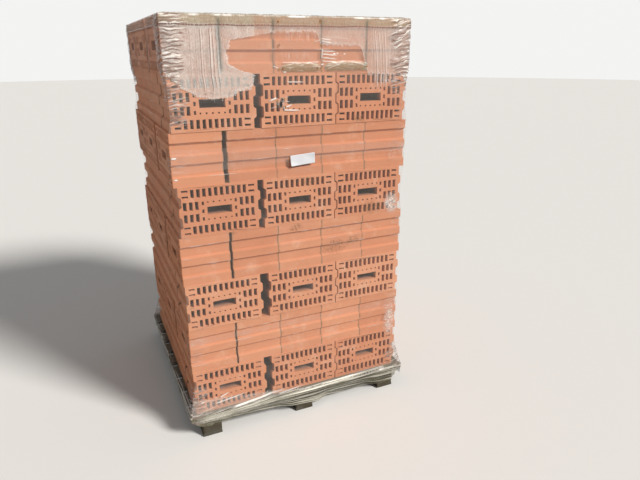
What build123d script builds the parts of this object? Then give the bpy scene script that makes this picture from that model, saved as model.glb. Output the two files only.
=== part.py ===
from build123d import *
import os

# Stack of perforated clay blocks on a wooden block pallet, bound with stretch film.
# Millimetres. +Z is up, and the origin is the middle of the footprint, on the floor.
# The front, with the perforated faces of the first layer, looks towards -Y.

# Clay block, as it lies in the stack: length and thickness show on the perforated face
block_length = 375.0        # between the end faces, without the tongues
block_thickness = 240.0     # stands vertical in the stack
block_height = 235.0        # along the perforation

# Tongues on one end of the block, grooves in the other
tongue_depth = 12.0
groove_depth = 12.5
groove_mouth = 60.0         # width of a groove at the end face
groove_slope = 9.0          # how much narrower it gets on each side at its bottom
tongue_play = 3.0           # room on each side of a tongue in its groove
groove_offset = 48.0        # from the middle of the thickness to the middle of a groove

# Perforation
shell_wall = 14.0           # clay between the long faces and the holes
slot_width = 15.0
slot_length = 39.0
outer_slots = 10            # slots in each row next to a long face
inner_slots = 3             # slots on each side of the hand hole in the two middle rows
groove_wall = 8.0           # clay between a groove and the nearest slot
dash_length = 28.0          # the pairs of short slots in the corners, laid lengthwise
dash_width = 9.5
dash_spacing = 27.0         # between the middles of the two slots of a pair
dash_web = 12.0             # clay between a pair and the row of slots beside it
dash_wall = 17.5            # clay between an end face and a pair
grip_length = 115.0         # the hand hole
grip_width = 38.0
side_slot_width = 9.0       # three small slots on each side of the hand hole
side_slot_length = 17.0
side_slot_gap = 20.0        # from the hand hole to the middle of a small slot
side_slot_pitch = 37.0
pin_hole = 7.0              # small square holes above and below the hand hole
pin_hole_count = 5
pin_hole_gap = 22.0         # from the edge of the hand hole to the middle of a small hole

# Stacking: each layer has three blocks along their length and five across it. Its outer
# blocks stand in a little from the sides of the stack, and the room left over stands
# open in its first joint. The lists go from the bottom layer to the top one.
layer_count = 8
blocks_along = 3
blocks_across = 5
inset_along = [8.0, 5.0, 7.5, 4.0, 15.0, 6.0, 12.5, 3.0]
inset_across = [2.0, 6.0, 1.0, 4.0, 3.0, 0.0, 2.0, 3.0]
narrowest_joint = 8.5       # least width of the open joint
joint_gap = 1.5             # between neighbouring blocks elsewhere
nested_gap = 4.0            # between end faces whose tongues and grooves engage

# Wooden block pallet with three skids
deck_margin = 25.0          # how far the deck stands out past the stack
deck_wing = 55.0            # how far it stands out past the outer skids
deck_board_thickness = 20.0
deck_board_width = 100.0
deck_board_count = 9
skid_width = 100.0
stringer_thickness = 20.0
pallet_block_height = 70.0
pallet_block_length = 140.0
runner_thickness = 20.0
runner_chamfer = 6.0
block_chamfer = 4.0
skids = 3
blocks_per_skid = 3

# Stretch film
film_thickness = 0.6
film_clearance = 0.4
film_corner = 0.5           # inside the film, so that it clears square corners
film_flare_height = 125.0   # where the film starts to spread towards the deck
film_drop = 41.0            # how far it hangs below the top of the deck
film_fold = 90.0            # width of the film folded over the top edges

# Paper label, on the end of one block of a layer
label_length = 126.0
label_width = 52.0
label_thickness = 0.3
label_corner = 3.0
label_tilt = 4.0
label_layer_index = 5
label_column_index = 2
label_across = 128.0        # middle of the label, from the side of its block
label_up = 82.0             # middle of the label, from the bottom of its layer

LAID = (Align.CENTER, Align.CENTER, Align.MIN)

skid_height = runner_thickness + pallet_block_height + stringer_thickness
deck_top = skid_height + deck_board_thickness
stack_top = deck_top + layer_count * block_thickness
tight_along = blocks_along * block_length + 2 * tongue_depth + (blocks_along - 2) * nested_gap
tight_across = blocks_across * block_height + (blocks_across - 2) * joint_gap
stack_size = narrowest_joint + max(
    tight_along + 2 * max(inset_along),
    tight_across + 2 * max(inset_across),
)
pallet_size = stack_size + 2 * deck_margin


def block_outline():
    """Outer line of the section, with its grooves on the left and tongues on the right."""
    mid = block_thickness / 2
    tongue_mouth = groove_mouth - 2 * tongue_play
    left = [(0, 0)]
    right = [(block_length, 0)]
    for side in (-1, 1):
        centre = mid + side * groove_offset
        left += [
            (0, centre - groove_mouth / 2),
            (groove_depth, centre - groove_mouth / 2 + groove_slope),
            (groove_depth, centre + groove_mouth / 2 - groove_slope),
            (0, centre + groove_mouth / 2),
        ]
        right += [
            (block_length, centre - tongue_mouth / 2),
            (block_length + tongue_depth, centre - tongue_mouth / 2 + groove_slope),
            (block_length + tongue_depth, centre + tongue_mouth / 2 - groove_slope),
            (block_length, centre + tongue_mouth / 2),
        ]
    left.append((0, block_thickness))
    right.append((block_length, block_thickness))
    return make_face(Polyline(*left, *reversed(right), close=True))


def perforation():
    """All the holes of one block, drawn on its perforated face."""
    row_pitch = (block_thickness - 2 * shell_wall - slot_length) / 3
    row_ends = dash_wall + dash_length + dash_web
    slot_pitch = (block_length - 2 * row_ends - slot_width) / (outer_slots - 1)
    first_inner = block_length / 2 - groove_depth - groove_wall - slot_width / 2
    dash_middle = block_length / 2 - dash_wall - dash_length / 2
    side_slot_middle = grip_length / 2 + side_slot_gap
    pin_row = grip_width / 2 + pin_hole_gap
    outer_row = 1.5 * row_pitch
    inner_row = 0.5 * row_pitch

    with BuildSketch() as holes:
        with Locations((block_length / 2, block_thickness / 2)):
            with GridLocations(slot_pitch, 2 * outer_row, outer_slots, 2):
                Rectangle(slot_width, slot_length)
            for side in (-1, 1):
                for count in range(inner_slots):
                    across = side * (first_inner - count * slot_pitch)
                    with Locations((across, -inner_row), (across, inner_row)):
                        Rectangle(slot_width, slot_length)
                for row in (-outer_row, outer_row):
                    with Locations((side * dash_middle, row)):
                        with GridLocations(1, dash_spacing, 1, 2):
                            Rectangle(dash_length, dash_width)
                with Locations((side * side_slot_middle, 0)):
                    with GridLocations(1, side_slot_pitch, 1, 3):
                        Rectangle(side_slot_width, side_slot_length)
            with GridLocations(slot_pitch, 2 * pin_row, pin_hole_count, 2):
                Rectangle(pin_hole, pin_hole)
            Rectangle(grip_length, grip_width)
    return holes.sketch


def starts_along(layer):
    """Where each block of a row starts. The first joint stands open, the others engage."""
    room = stack_size - 2 * inset_along[layer]
    start = -room / 2
    starts = [start]
    start += block_length + tongue_depth + room - tight_along
    for _ in range(blocks_along - 1):
        starts.append(start)
        start += block_length + nested_gap
    return starts


def starts_across(layer):
    """Where each row of blocks starts. The first joint stands open."""
    room = stack_size - 2 * inset_across[layer]
    start = -room / 2
    starts = [start]
    start += block_height + room - tight_across
    for _ in range(blocks_across - 1):
        starts.append(start)
        start += block_height + joint_gap
    return starts


def is_crosswise(layer):
    """The second layer and every other one after it turn their blocks front to back."""
    return layer % 2 == 1


def build_layer(layer, perforated, plain):
    """The blocks of one layer that can be seen, as solids that don't touch."""
    blocks = []
    bottom = deck_top + layer * block_thickness
    top_layer = layer == layer_count - 1
    for column, along in enumerate(starts_along(layer)):
        for row, across in enumerate(starts_across(layer)):
            outer_row = row in (0, blocks_across - 1)
            hidden = 0 < column < blocks_along - 1 and not outer_row
            if hidden and not top_layer:
                continue
            block = perforated if outer_row else plain
            if is_crosswise(layer):
                place = Pos(across, along, bottom) * Plane.YZ.location
            else:
                place = Pos(along, across + block_height, bottom) * Plane.XZ.location
            blocks.append(place * block)
    return blocks


def build_core():
    """Plain stand-in for the blocks that the outer ones and the top layer hide."""
    core = None
    for layer in range(layer_count - 1):
        along = starts_along(layer)
        across = starts_across(layer)
        corner = (along[1], across[1])
        sides = (
            along[blocks_along - 1] - nested_gap - along[1],
            across[blocks_across - 1] - joint_gap - across[1],
        )
        if is_crosswise(layer):
            corner = corner[::-1]
            sides = sides[::-1]
        slab = Box(*sides, block_thickness, align=Align.MIN)
        slab = Pos(*corner, deck_top + layer * block_thickness) * slab
        core = slab if core is None else core + slab
    return [core]


def spread_evenly(count, width, piece):
    """Middles of like pieces that fill a width from edge to edge."""
    pitch = (width - piece) / (count - 1)
    return [(number - (count - 1) / 2) * pitch for number in range(count)]


def skid_centres():
    """Middle of each skid across the pallet."""
    return spread_evenly(skids, pallet_size - 2 * deck_wing, skid_width)


def build_runners():
    """Bottom boards of the skids, chamfered along their upper edges for the fork."""
    runner = Box(skid_width, pallet_size, runner_thickness, align=LAID)
    upper_edges = runner.faces().sort_by(Axis.Z)[-1].edges().filter_by(Axis.Y)
    runner = chamfer(upper_edges, runner_chamfer)
    return [Pos(x, 0, 0) * runner for x in skid_centres()]


def build_pallet_blocks():
    """The wooden blocks of the skids, with their upright edges eased."""
    block = Box(skid_width, pallet_block_length, pallet_block_height, align=LAID)
    block = chamfer(block.edges().filter_by(Axis.Z), block_chamfer)
    return [
        Pos(x, y, runner_thickness) * block
        for x in skid_centres()
        for y in spread_evenly(blocks_per_skid, pallet_size, pallet_block_length)
    ]


def build_stringers():
    """Boards that tie the blocks of each skid together under the deck."""
    board = Box(skid_width, pallet_size, stringer_thickness, align=LAID)
    return [Pos(x, 0, skid_height - stringer_thickness) * board for x in skid_centres()]


def build_deck():
    """Deck boards across the skids, evenly spaced over the length of the pallet."""
    board = Box(pallet_size, deck_board_width, deck_board_thickness, align=LAID)
    rows = spread_evenly(deck_board_count, pallet_size, deck_board_width)
    return [Pos(0, y, skid_height) * board for y in rows]


def film_body(spread):
    """Space inside the film, grown by spread: straight beside the stack, flared at the deck."""
    stack_side = stack_size + 2 * spread
    deck_side = pallet_size + 2 * spread
    sections = [
        (deck_top - film_drop, deck_side),
        (deck_top, deck_side),
        (deck_top + film_flare_height, stack_side),
        (stack_top + spread, stack_side),
    ]
    corner = film_corner + spread
    outlines = [Pos(0, 0, height) * RectangleRounded(side, side, corner) for height, side in sections]
    return loft(outlines, ruled=True)


def build_film():
    """Stretch film: a thin sleeve round the stack, spread over the deck and folded in on top."""
    sleeve = film_body(film_clearance + film_thickness) - film_body(film_clearance)
    mouth = stack_size - 2 * film_fold
    opening = Box(mouth, mouth, 4 * film_clearance + 4 * film_thickness)
    return [sleeve - Pos(0, 0, stack_top) * opening]


def build_label():
    """Bare paper label on the front of the film."""
    x = starts_across(label_layer_index)[label_column_index] + label_across
    y = -stack_size / 2 - 2 * film_clearance - film_thickness
    z = deck_top + label_layer_index * block_thickness + label_up
    label = extrude(RectangleRounded(label_length, label_width, label_corner), label_thickness)
    return [Pos(x, y, z) * Plane.XZ.location * Rot(0, 0, label_tilt) * label]


def write(name, shapes):
    """Write the solids of one node as a STEP file."""
    solids = [solid for shape in shapes for solid in shape.solids()]
    export_step(Compound(children=solids), os.path.join("parts", name + ".step"))


def main():
    os.makedirs("parts", exist_ok=True)
    outline = block_outline()
    perforated = extrude(outline - perforation(), block_height)
    plain = extrude(outline, block_height)
    for layer in range(layer_count):
        write(f"clay_blocks_layer_{layer + 1}", build_layer(layer, perforated, plain))
    write("stack_core", build_core())
    write("deck_boards", build_deck())
    write("stringer_boards", build_stringers())
    write("pallet_blocks", build_pallet_blocks())
    write("bottom_runners", build_runners())
    write("stretch_film", build_film())
    write("paper_label", build_label())


main()
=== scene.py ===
import math

import bpy
import numpy as np
from bpy.props import FloatProperty, FloatVectorProperty, PointerProperty
from mathutils import Matrix, Vector


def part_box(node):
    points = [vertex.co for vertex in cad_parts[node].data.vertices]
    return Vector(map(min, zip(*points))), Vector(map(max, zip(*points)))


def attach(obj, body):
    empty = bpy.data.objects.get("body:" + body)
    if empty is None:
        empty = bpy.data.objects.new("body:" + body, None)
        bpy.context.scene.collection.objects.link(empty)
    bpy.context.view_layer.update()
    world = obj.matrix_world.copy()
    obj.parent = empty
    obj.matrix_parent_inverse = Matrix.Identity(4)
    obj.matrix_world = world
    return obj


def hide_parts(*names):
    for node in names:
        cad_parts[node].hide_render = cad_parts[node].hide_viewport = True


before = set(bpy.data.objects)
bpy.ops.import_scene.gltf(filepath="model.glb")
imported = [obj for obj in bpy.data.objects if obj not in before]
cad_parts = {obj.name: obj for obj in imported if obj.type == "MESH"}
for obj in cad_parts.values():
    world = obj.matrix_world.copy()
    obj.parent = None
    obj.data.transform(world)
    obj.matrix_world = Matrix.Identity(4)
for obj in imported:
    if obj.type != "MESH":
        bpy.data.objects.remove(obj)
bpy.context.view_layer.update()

bl_info = {
    "name": "Wrapped pallet of clay blocks",
    "version": (1, 0, 0),
    "blender": (4, 5, 0),
    "location": "3D View > Sidebar > Block pallet",
    "description": "Finishes a stretch-wrapped pallet of perforated clay blocks and sets its stage",
    "category": "Object",
}

# Places read from the frame, in metres
LAYERS = [f"clay_blocks_layer_{number + 1}" for number in range(8)]
LAYER_BOXES = [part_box(name) for name in LAYERS]
DECK_LOW, DECK_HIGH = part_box("deck_boards")
STACK_TOP = LAYER_BOXES[-1][1].z
STACK_HALF = max(max(high.x, high.y, -low.x, -low.y) for low, high in LAYER_BOXES)
STACK_SIDE = 2 * STACK_HALF
LAYER_PITCH = (STACK_TOP - DECK_HIGH.z) / len(LAYERS)
LABEL_LOW, LABEL_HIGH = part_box("paper_label")

# The sides of the stack in the order of a walk round it, from its front left corner. A
# place on a side is its distance from the side's left end, as seen from outside.
FRONT, RIGHT, BACK, LEFT = range(4)
SIDE_NORMALS = ((0, -1), (1, 0), (0, 1), (-1, 0))
SIDE_STARTS = ((-1, -1), (1, -1), (1, 1), (-1, 1))


def read(items, name, width=1, kind=float):
    """What a mesh keeps under a name for each vertex, edge or loop, as one array."""
    values = np.zeros(len(items) * width, kind)
    items.foreach_get(name, values)
    return values.reshape(-1, width) if width > 1 else values


def block_spans(number):
    """Start and end of each block of a layer across X and across Y, read from its top face."""
    points = read(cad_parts[LAYERS[number]].data.vertices, "co", 3)
    top = points[points[:, 2] > points[:, 2].max() - 1e-4]
    return [np.unique(np.round(top[:, axis], 4)) for axis in (0, 1)]


def land_edges(number):
    """Heights over a layer's foot at which the lands between its grooves end, on its front face."""
    low = LAYER_BOXES[number][0]
    points = read(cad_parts[LAYERS[number]].data.vertices, "co", 3)
    heights = np.unique(np.round(points[points[:, 1] < low.y + 1e-4, 2] - low.z, 4))
    return [float(height) for height in heights[1:-1]]


def joint_middles(edges):
    """Places of the joints in a row of blocks, from the starts and ends of the blocks."""
    return (edges[1:-1:2] + edges[2:-1:2]) / 2


# The second layer is the lowest that turns its grooved ends to the front
LAND_EDGES = land_edges(1)


# Sizes and colours that can be set in the sidebar


def tint(name, description, default):
    return FloatVectorProperty(name=name, description=description, subtype="COLOR", default=default)


def measure(name, description, default):
    return FloatProperty(name=name, description=description, default=default, unit="LENGTH")


def swing(name, description, degrees):
    return FloatProperty(name=name, description=description, default=math.radians(degrees), subtype="ANGLE")


def amount(name, description, default):
    return FloatProperty(name=name, description=description, default=default)


# Materials


def sign(operation, swapped=False):
    """A method that makes a Math node. Python's reflected signs give it their terms swapped."""
    def join(value, *others):
        terms = (value, *others)
        return value.math(operation, *(reversed(terms) if swapped else terms))
    return join


class Value:
    """A socket of a material, with the usual signs for its maths."""

    def __init__(self, look, socket):
        self.look = look
        self.socket = socket

    def math(self, operation, *terms, clamp=False):
        settings = {"operation": operation, "use_clamp": clamp}
        return self.look.node("ShaderNodeMath", settings, dict(enumerate(terms)))

    __add__ = sign("ADD")
    __radd__ = sign("ADD", swapped=True)
    __sub__ = sign("SUBTRACT")
    __rsub__ = sign("SUBTRACT", swapped=True)
    __mul__ = sign("MULTIPLY")
    __rmul__ = sign("MULTIPLY", swapped=True)
    __truediv__ = sign("DIVIDE")
    __gt__ = sign("GREATER_THAN")
    size = sign("ABSOLUTE")
    whole = sign("FLOOR")
    rest = sign("FRACT")

    def highest(self, *others):
        top = self
        for other in others:
            top = top.math("MAXIMUM", top, other)
        return top

    def clamped(self):
        return self.math("ADD", self, 0.0, clamp=True)

    def step(self, low, high):
        """0 below low, 1 above high and smooth between them."""
        values = {0: self, 1: low, 2: high, 3: 0.0, 4: 1.0}
        return self.look.node("ShaderNodeMapRange", {"interpolation_type": "SMOOTHSTEP"}, values)

    def fall(self, low, high):
        """1 below low, 0 above high and smooth between them."""
        return 1.0 - self.step(low, high)

    def near(self, full, none):
        """1 within one distance of zero and 0 beyond another."""
        return self.size().fall(full, none)


class Look:
    """A procedural material or world, built node by node."""

    def __init__(self, owner):
        self.owner = owner
        owner.use_nodes = True
        self.tree = owner.node_tree
        self.tree.nodes.clear()

    def node(self, kind, settings=None, values=None, out=0):
        """Adds a node: its settings first, then the values or links of its sockets."""
        node = self.tree.nodes.new(kind)
        for name, value in (settings or {}).items():
            setattr(node, name, value)
        for key, value in (values or {}).items():
            if isinstance(value, Value):
                self.tree.links.new(value.socket, node.inputs[key])
            else:
                node.inputs[key].default_value = value
        return Value(self, node.outputs[out]) if node.outputs else None

    def place(self):
        """The point of the surface, in metres."""
        return self.node("ShaderNodeTexCoord", out="Object")

    def attribute(self, name):
        return self.node("ShaderNodeAttribute", {"attribute_name": name}, out="Fac")

    def still(self, number):
        """A number that is the same all over."""
        return self.node("ShaderNodeMath", {"operation": "ADD"}, {0: number, 1: 0.0})

    def scaled(self, vector, by):
        return self.node("ShaderNodeVectorMath", {"operation": "MULTIPLY"}, {0: vector, 1: by})

    def moved(self, vector, by):
        return self.node("ShaderNodeVectorMath", {"operation": "ADD"}, {0: vector, 1: by})

    def part(self, vector, axis):
        return self.node("ShaderNodeSeparateXYZ", values={0: vector}, out=axis)

    def vector(self, x=0.0, y=0.0, z=0.0):
        return self.node("ShaderNodeCombineXYZ", values={0: x, 1: y, 2: z})

    def noise(self, vector, scale=1.0, detail=3.0, roughness=0.5, distortion=0.0):
        values = {"Vector": vector, "Scale": scale, "Detail": detail}
        values.update({"Roughness": roughness, "Distortion": distortion})
        return self.node("ShaderNodeTexNoise", values=values)

    def waves(self, x, y, z, detail=2.0, roughness=0.5, distortion=0.0):
        """Noise over numbers in place of a point, with one wave to each unit."""
        return self.noise(self.vector(x, y, z), 1.0, detail, roughness, distortion)

    def cells(self, vector, scale):
        """Distance from the nearest of scattered points."""
        return self.node("ShaderNodeTexVoronoi", values={"Vector": vector, "Scale": scale}, out="Distance")

    def chance(self, vector):
        """A number from 0 to 1 that jumps from one whole-numbered place to the next."""
        return self.node("ShaderNodeTexWhiteNoise", values={"Vector": vector})

    def blend(self, first, second, share):
        """A colour between two others, with its share held between 0 and 1."""
        settings = {"data_type": "RGBA", "clamp_factor": True}
        first, second = (hue if isinstance(hue, Value) else rgba(hue) for hue in (first, second))
        return self.node("ShaderNodeMix", settings, {0: share, 6: first, 7: second}, out=2)

    def coats(self, body, *coats):
        """Lays colours over another, one after the other, each with its own share."""
        for hue, share in coats:
            body = self.blend(body, hue, share)
        return body

    def bump(self, height, distance, strength=1.0):
        values = {"Height": height, "Distance": distance, "Strength": strength}
        return self.node("ShaderNodeBump", values=values)

    def seen(self):
        """1 where the camera looks, straight or in a gloss, and 0 for light on its way to the object."""
        kinds = ("Camera", "Glossy", "Transmission")
        rays = [self.node("ShaderNodeLightPath", out=f"Is {kind} Ray") for kind in kinds]
        return rays[0].highest(rays[1]).highest(rays[2])

    def finish(self, **sockets):
        """Ends in a Principled shader. A socket's words are joined by underscores here."""
        values = {name.replace("_", " "): value for name, value in sockets.items()}
        return self.end(self.node("ShaderNodeBsdfPrincipled", values=values), "ShaderNodeOutputMaterial")

    def end(self, shader, kind):
        self.node(kind, values={"Surface": shader})
        return self.owner


def material_look(name):
    return Look(bpy.data.materials.new(name))


def wear(piece, material):
    """Gives a piece one material in place of those it came with."""
    piece.data.materials.clear()
    piece.data.materials.append(material)


def rgba(hue):
    return (*hue, 1.0)


def drawn_out(along, share):
    """Factors that draw a pattern out along one axis."""
    return [share if axis == along else 1.0 for axis in range(3)]


def clay_look(name, finish, extruded_along, spans, layer):
    """Fired clay, extruded along one axis and wire cut across it, a little different on each block."""
    look = material_look(name)
    place = look.place()
    counts = []
    for axis, edges in enumerate(spans):
        count = 0.0
        for joint in joint_middles(edges):
            count = (look.part(place, axis) > float(joint)) + count
        counts.append(count)
    block = look.vector(*counts, float(layer))
    shade = look.chance(block)
    warmth = look.chance(look.moved(block, (7.3, 1.9, 4.1)))

    drawn = look.scaled(place, drawn_out(extruded_along, 0.016))
    die_lines = look.noise(drawn, 190.0, 3.0, 0.6)
    drag = look.noise(drawn, 34.0, 2.0, 0.5)
    mottle = look.noise(look.moved(place, (float(layer), 0.0, 0.0)), 7.0, 5.0, 0.6)
    blotch = look.noise(place, 26.0, 4.0, 0.65)
    grain = look.noise(place, 420.0, 3.0, 0.7)
    pits = look.cells(place, 330.0)

    normal = look.node("ShaderNodeNewGeometry", out="Normal")
    cut = look.part(normal, extruded_along).size().step(0.6, 0.9)
    wall = 1.0 - cut
    along = look.part(place, extruded_along)
    # Painted shade: the clay darkens towards the hollow colour deeper in the holes and inner joints, away
    # from the outer faces
    deep = look.attribute("hollow_shade") * (STACK_HALF - along.size()).step(0.004, 0.045)

    tone = 0.5 + (shade - 0.5) * finish.block_variation
    tone = tone + (mottle - 0.5) * 0.75 + (die_lines - 0.5) * 0.35 * wall
    tone = tone + (drag - 0.5) * 0.4 * wall + (blotch - 0.5) * 0.45 * cut
    dust = look.noise(place, 11.0, 6.0, 0.7).step(0.52, 0.74)
    grime = look.noise(look.moved(place, (3.1, 8.2, 1.7)), 4.2, 7.0, 0.72).step(0.60, 0.72)
    grime = grime * look.noise(place, 70.0, 4.0, 0.7).step(0.42, 0.60)
    # Darker bands in the grime colour along the block ends, by the joints between blocks
    darkened = 0.0
    for end in spans[extruded_along][1:-1]:
        darkened = (along - float(end)).near(0.0015, 0.0065).highest(darkened)
    darkened = darkened * look.noise(place, 55.0, 3.0, 0.7).step(0.36, 0.56)
    body = look.coats(
        look.blend(finish.deep, finish.pale, tone),
        (finish.warm, warmth * 0.55),
        (finish.bloom, dust * finish.dust),
        (finish.fleck, grain.step(0.60, 0.74) * 0.35),
        (finish.grime, grime * finish.dirt),
        (finish.grime, darkened * 0.55),
        # Painted shade deep in the holes and inner joints
        (finish.hollow_shade, deep * 0.85),
    )
    relief = die_lines * 0.5 * wall + grain * 0.35 + blotch * 0.8 * cut - pits.fall(0.05, 0.3) * 0.5
    return look.finish(
        Base_Color=body,
        Roughness=0.78 + (grain - 0.5) * 0.2,
        Specular_IOR_Level=0.25,
        Normal=look.bump(relief, 0.0012, 0.6),
    )


def wood_look(name, finish, along, sawn, seed):
    """Weathered sawn softwood, with its grain along one axis."""
    look = material_look(name)
    place = look.moved(look.place(), (seed * 3.7, seed * 1.3, seed * 0.9))
    drawn = look.scaled(place, drawn_out(along, 0.05))
    warp = look.noise(look.scaled(place, drawn_out(along, 0.25)), 9.0, 2.0)
    warp = look.scaled(look.vector(warp, warp, warp), (0.03, 0.03, 0.03))
    rings = look.noise(look.moved(drawn, warp), 62.0, 4.0, 0.6)
    fibre = look.noise(drawn, 420.0, 4.0, 0.7)
    stain = look.noise(place, 5.5, 5.0, 0.6)
    knot = look.cells(look.scaled(place, drawn_out(along, 0.35)), 9.0).fall(0.04, 0.13)
    dirt = look.noise(place, 16.0, 5.0, 0.7).step(0.56, 0.78)
    body = look.coats(
        look.blend(finish.dark_grain, sawn, rings * 0.9 + fibre * 0.5 - 0.2),
        (finish.weathered, stain.step(0.38, 0.68) * finish.weathering),
        (finish.knot, knot * 0.7),
        (finish.dirt, dirt * 0.6),
    )
    relief = rings * 0.6 + fibre * 0.5 - knot * 0.3
    return look.finish(
        Base_Color=body,
        Roughness=0.86,
        Specular_IOR_Level=0.2,
        Normal=look.bump(relief, 0.0016, 0.7),
    )


def film_look(name, finish, notes, low, high):
    """Clear stretch film: see-through where it is smooth, milky where it is crumpled or doubled.

    Notes that are the same all over a sheet are plain numbers, and marks outside its heights are
    left out.
    """
    look = material_look(name)
    place = look.place()
    turns = look.node("ShaderNodeUVMap", {"uv_map": "turns"})
    path, up = look.part(turns, 0), look.part(turns, 1)
    haze, milk, level, ply, upright, slant, fan, crest, hem, seam_shade, bulge, dust, rope = (
        look.attribute(key) if np.ptp(notes[key]) else look.still(float(notes[key].flat[0]))
        for key in FILM_NOTES)

    ragged = look.noise(place, 60.0, 3.0, 0.65) - 0.5
    teeth = look.noise(place, 240.0, 2.0, 0.6) - 0.5
    fine = look.noise(place, 150.0, 4.0, 0.75)
    cloud = look.noise(look.scaled(place, (1.0, 1.0, 0.35)), 26.0, 4.0, 0.65)
    speckle = look.noise(look.scaled(place, (1.0, 1.0, 0.5)), 230.0, 3.0, 0.7)
    border = haze + ragged * 0.034 + teeth * 0.03
    hazy = border.step(-0.001, 0.005)
    # The lip along the edge of the milky film is a little more opaque and takes a painted highlight
    lip = hazy * border.fall(0.004, 0.012)

    def lines(across, along, darkest, lightest):
        """One run of creases, and its painted highlight lines and painted shade lines."""
        field = look.waves(across, along, 0.0, 2.0, 0.55, 0.15)
        return field, field.step(lightest, lightest + 0.05), field.fall(darkest - 0.05, darkest)

    levels, level_bright, level_dark = lines(ply * 2.0, path * 12.0, 0.45, 0.555)
    uprights, upright_bright, upright_dark = lines(path * 150.0, up * 5.0, 0.42, 0.57)
    slants, slant_bright, slant_dark = lines(fan * 95.0, path * 2.5, 0.49, 0.52)
    # Painted highlights on one side of each crease line and painted shade on the other
    bright = (level_bright * level).highest(upright_bright * upright * 0.6, slant_bright * slant)
    dark = (level_dark * level).highest(upright_dark * upright * 0.7, slant_dark * slant)

    # Thin painted shade lines in the crinkles at the corners
    beat = ply + (look.waves(path * 16.0, ply * 0.6, 6.0) - 0.5) * 1.6
    thin = (beat.rest() - 0.5).near(0.07, 0.24) * level.step(0.24, 0.62)
    thin = thin * look.waves(path * 24.0, beat.whole() * 3.7, 7.0).step(0.36, 0.50)
    sway = (look.waves(up * 14.0, path * 9.0, 0.0) - 0.5) * 0.006
    # Each pleat gets a painted shade line with a painted highlight line beside it
    pleat_shade = lit_pleat = look.still(0.0)
    for head, foot, strength in PLEATS if high > PLEAT_TOP else ():
        lean = (foot - head) / (PLEAT_TOP - PLEAT_FOOT)
        away = path + sway + (up - PLEAT_TOP) * lean - (STACK_HALF + head)
        pleat_shade = (away.near(0.0010, 0.0036) * strength).highest(pleat_shade)
        lit_pleat = ((away - 0.0052).near(0.0014, 0.0046) * strength).highest(lit_pleat)
    run = up.step(PLEAT_FOOT - 0.01, PLEAT_FOOT + 0.05) * up.fall(1.985, 2.004)
    run = run * look.waves(up * 22.0, path * 60.0, 3.0).step(0.22, 0.46)
    pleat_shade, lit_pleat = pleat_shade * run, lit_pleat * run

    # A painted shadow line along the folded edge of the top turn, a dusty band above it, and a painted
    # highlight along the top rim
    stitch = band = rim = look.still(0.0)
    if high > finish.stitch_height:
        over = up + (look.waves(path * 5.0, 0.0, 8.0) - 0.5) * 0.016 - finish.stitch_height
        gleam = look.waves(path * 170.0, 0.0, 1.0).step(0.40, 0.55)
        stitch = over.near(0.0014, 0.0050) * (0.42 + 0.58 * gleam)
        band = over.step(0.0, 0.010)
        rim = up.step(STACK_TOP - 0.009, STACK_TOP - 0.004) * up.fall(STACK_TOP + 0.002, STACK_TOP + 0.006)
        rim = rim * look.waves(path * 9.0, 0.0, 5.0, 3.0).step(0.46, 0.62)

    def spots(places, tall):
        """Small ragged spots at places on the front."""
        spot = look.still(0.0)
        for x, z, size in places:
            if low < z < high:
                gap = look.vector((path - (STACK_HALF + x)) / size, (up - z) / (tall * size), 0.0)
                ring = look.node("ShaderNodeVectorMath", {"operation": "LENGTH"}, {0: gap}, "Value")
                spot = (ring + ragged * 0.9).fall(0.35, 1.0).highest(spot)
        return spot

    def creases():
        """Painted highlights along creases, drawn from one place of the front to another, fading at the far
        end.
        """
        mark = look.still(0.0)
        bent = up + ragged * 0.006
        for x0, z0, x1, z1, width, strength in CREASES:
            if low < z0 < high:
                run, rise = x1 - x0, z1 - z0
                size = math.hypot(run, rise)
                start = STACK_HALF + x0
                share = path * (run / size ** 2) + bent * (rise / size ** 2)
                share = share - (start * run + z0 * rise) / size ** 2
                off = path * (rise / size) - bent * (run / size) - (start * rise - z0 * run) / size
                line = off.near(0.25 * width, width) * strength
                mark = (line * share.step(-0.03, 0.10) * share.fall(0.5, 1.0)).highest(mark)
        return mark

    # Punctures are painted as shaded and lit clay, glints are painted highlights, the tear is painted
    # shade, and grime is yard dirt
    hole, glint, crease, tear = spots(PUNCTURES, 1.6), spots(GLINTS, 0.45), creases(), spots(TEARS, 2.4)
    grime = spots(GRIME, 0.55) * fine.step(0.47, 0.60) * 0.55

    side = (path / STACK_SIDE).whole()
    pairs = ((up - DECK_HIGH.z) / LAYER_PITCH - side) / 2.0
    in_layer = pairs.rest() * (2.0 * LAYER_PITCH) - LAYER_PITCH
    # Painted sheen highlights along the land edges under the clear film
    edge = 0.0
    for height in LAND_EDGES:
        edge = (in_layer - height).near(0.0012, 0.0045).highest(edge)
    edge = edge * look.waves(path * 6.0, up * 30.0, 2.0, 4.0, 0.7).step(0.50, 0.66) * (1.0 - hazy)

    crumbs = look.noise(place, 75.0, 5.0, 0.75)
    dusty = (dust + (crumbs - 0.5) * 1.6 + (fine - 0.5) * 0.9).step(0.28, 0.75) * dust.step(0.0, 0.25)
    crinkle = look.noise(look.scaled(place, (1.0, 1.0, 1.8)), 105.0, 2.0, 0.5, 1.2).step(0.46, 0.60)
    folded = look.waves(path * 22.0, up * 330.0, 4.0, 3.0, 0.6)
    smudge = look.noise(place, 8.0, 5.0, 0.65).step(0.5, 0.75) * 0.05
    gathered = (bulge + ragged * 0.8 + (folded - 0.5) * 0.5).step(0.05, 0.45) * bulge.step(0.0, 0.15)
    milky = hazy * milk * (0.42 + (cloud - 0.5) * 0.6 + (speckle - 0.5) * 0.8)
    # Painted shade: the smooth film's veil is thinner on the left side
    left_shade_factor = 1.0 - 0.65 * side.step(2.5, 2.6)

    veil = (finish.clear_haze + up.step(1.60, 1.83) * finish.top_haze + smudge) * left_shade_factor + milky
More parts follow.
